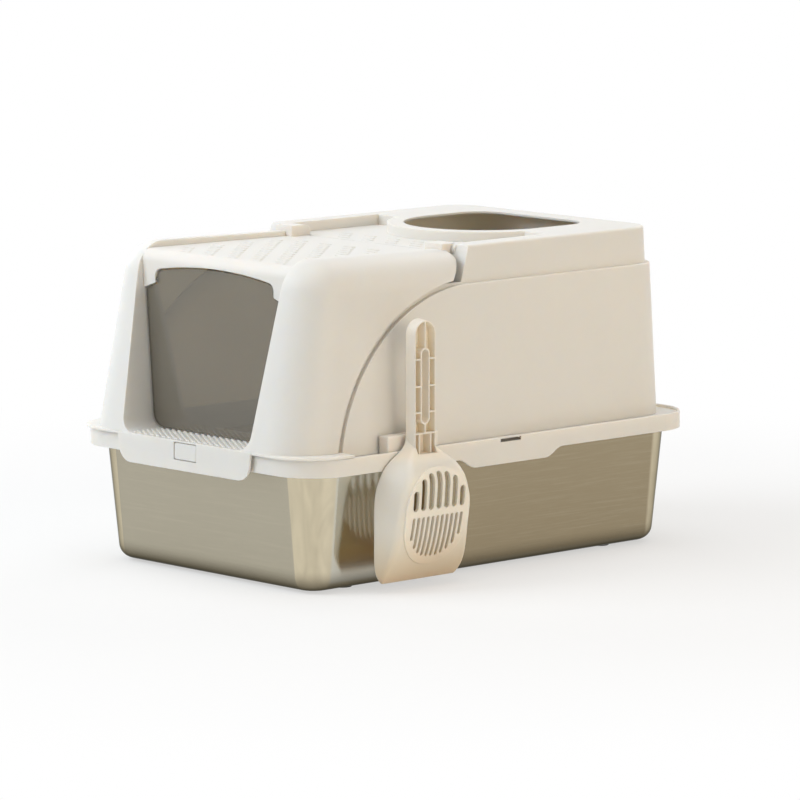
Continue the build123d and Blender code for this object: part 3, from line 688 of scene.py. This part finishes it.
def add_sky(scene, strength):
    """Even sky: white where it is seen, softer as light."""
    white = (1.0, 1.0, 1.0, 1.0)
    world = bpy.data.worlds.new("sky")
    world.use_nodes = True
    scene.world = world
    graph = Graph(world.node_tree)
    seen = background_rays(graph)
    level = seen + (1.0 - seen) * strength
    sky = graph.node("ShaderNodeBackground", {}, {"Color": white, "Strength": level})
    graph.node("ShaderNodeOutputWorld", {}, {"Surface": sky})


def aimed(place, target):
    """Placement at a place that looks at a target, with Z up unless it looks straight down."""
    least_turn = 0.05
    back = (Vector(place) - Vector(target)).normalized()
    right = Vector((0.0, 0.0, 1.0)).cross(back)
    if right.length < least_turn:
        right = Vector((1.0, 0.0, 0.0))
    right.normalize()
    up = back.cross(right)
    turn = Matrix((right, up, back)).transposed()
    return Matrix.Translation(place) @ turn.to_4x4()


def add_soft_box(scene, name, place, width, power, colour):
    """Square soft lamp aimed at the middle of the object."""
    lamp = bpy.data.lights.new(name, "AREA")
    lamp.size = width
    lamp.energy = power
    lamp.color = colour
    holder = bpy.data.objects.new(name, lamp)
    holder.matrix_world = aimed(place, LAMP_TARGET)
    scene.collection.objects.link(holder)


def add_camera(scene):
    """Camera at the photograph's viewing angle."""
    camera = bpy.data.cameras.new("camera")
    camera.sensor_width = CAMERA_SENSOR
    camera.lens = CAMERA_LENS
    camera.clip_end = CAMERA_REACH
    holder = bpy.data.objects.new("camera", camera)
    holder.matrix_world = aimed(CAMERA_PLACE, CAMERA_TARGET)
    scene.collection.objects.link(holder)
    scene.camera = holder


# Operators

class DressPan(Operator):
    """Gives the steel pan and its feet their finish."""

    bl_idname = "litterbox.dress_pan"
    bl_label = "Pan and feet"

    def execute(self, context):
        assign(brushed_steel(context.scene.litter_box.steel), "steel_pan")
        feet = [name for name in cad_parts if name.startswith("pan_foot_")]
        assign(foot_rubber(), *feet)
        return {"FINISHED"}


class DressShells(Operator):
    """Gives the rim, both hoods, the latch and the scoop's holder their moulded finish."""

    bl_idname = "litterbox.dress_shells"
    bl_label = "Moulded shells"

    def execute(self, context):
        shell = context.scene.litter_box.shell
        slot = context.scene.litter_box.slot
        plain = moulded_plastic("shell_plastic", shell.colour, shell.roughness, shell)
        assign(plain, "scoop_holder", "rear_hood", "front_hood", "front_latch")
        # The rim's material also paints shade deep in its side slots
        rim_with_slot_shade = moulded_plastic("rim_plastic", shell.colour, shell.roughness, shell, slot=slot)
        assign(rim_with_slot_shade, "rim_collar")
        return {"FINISHED"}


class DressHingePins(Operator):
    """Gives the two hinge pins their turned finish."""

    bl_idname = "litterbox.dress_hinge_pins"
    bl_label = "Hinge pins"

    def execute(self, context):
        pins = [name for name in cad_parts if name.startswith("hinge_pin_")]
        assign(turned_steel(context.scene.litter_box.steel), *pins)
        return {"FINISHED"}


class DressFlap(Operator):
    """Gives the entry flap its smoked finish."""

    bl_idname = "litterbox.dress_flap"
    bl_label = "Entry flap"

    def execute(self, context):
        assign(smoked_sheet(context.scene.litter_box.flap), "entry_flap")
        return {"FINISHED"}


class DressScoop(Operator):
    """Gives the scoop its moulded finish."""

    bl_idname = "litterbox.dress_scoop"
    bl_label = "Scoop"

    def execute(self, context):
        shell = context.scene.litter_box.shell
        scoop = context.scene.litter_box.scoop
        material = moulded_plastic("scoop_plastic", scoop.colour, scoop.roughness, shell, tip=scoop)
        assign(material, "scoop")
        return {"FINISHED"}


class BuildStage(Operator):
    """Adds the pale floor, the even sky, the soft lamps and the camera."""

    bl_idname = "litterbox.build_stage"
    bl_label = "Stage"

    def execute(self, context):
        scene = context.scene
        stage = scene.litter_box.stage
        add_floor(stage)
        add_sky(scene, stage.sky_strength)
        for name, place, width, setting, share, colour in SOFT_BOXES:
            add_soft_box(scene, name, place, width, share * getattr(stage, setting), colour)
        add_camera(scene)
        scene.view_settings.view_transform = "Standard"
        return {"FINISHED"}


# Sidebar and registration

STEPS = (DressPan, DressShells, DressHingePins, DressFlap, DressScoop, BuildStage)


class LitterBoxPanel(Panel):
    """Lists the steps that dress the litter box."""

    bl_idname = "VIEW3D_PT_litter_box"
    bl_label = "Litter Box"
    bl_space_type = "VIEW_3D"
    bl_region_type = "UI"
    bl_category = "Litter Box"

    def draw(self, context):
        for step in STEPS:
            self.layout.operator(step.bl_idname)


CLASSES = (
    ShellSettings, SlotShadeSettings, ScoopSettings, SteelSettings, FlapSettings, StageSettings,
    LitterBoxSettings, *STEPS, LitterBoxPanel,
)


def register():
    """Adds the settings, the steps and the panel to Blender."""
    for item in CLASSES:
        bpy.utils.register_class(item)
    bpy.types.Scene.litter_box = PointerProperty(type=LitterBoxSettings)


def unregister():
    """Takes the settings, the steps and the panel out of Blender."""
    del bpy.types.Scene.litter_box
    for item in reversed(CLASSES):
        bpy.utils.unregister_class(item)


def main():
    """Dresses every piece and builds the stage."""
    register()
    bpy.ops.litterbox.dress_pan()
    bpy.ops.litterbox.dress_shells()
    bpy.ops.litterbox.dress_hinge_pins()
    bpy.ops.litterbox.dress_flap()
    bpy.ops.litterbox.dress_scoop()
    bpy.ops.litterbox.build_stage()


if __name__ == "__main__":
    main()
